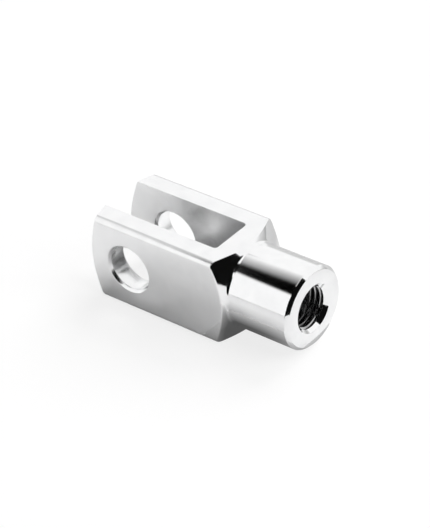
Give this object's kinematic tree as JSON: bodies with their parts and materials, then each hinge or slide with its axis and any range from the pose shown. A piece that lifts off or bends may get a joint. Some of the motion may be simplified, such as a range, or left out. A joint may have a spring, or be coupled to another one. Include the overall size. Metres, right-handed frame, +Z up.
{
  "type": "tension rod clevis",
  "caption": "Fork-shaped rod end: a slotted square fork with a chamfered cross bore for a pin, and a round shank with an internal thread for the rod.",
  "frame": {"origin": "centre of the pin bore, halfway between the two ears", "axes": "+X along the rod axis towards the tapped shank, +Y along the pin, +Z up through the open slot"},
  "size_m": [0.052, 0.02, 0.02],
  "materials": {
    "zinc_plated_steel": "bright zinc plating over machined steel"
  },
  "bodies": {
    "root": {"clevis": "zinc_plated_steel"}
  },
  "joints": []
}
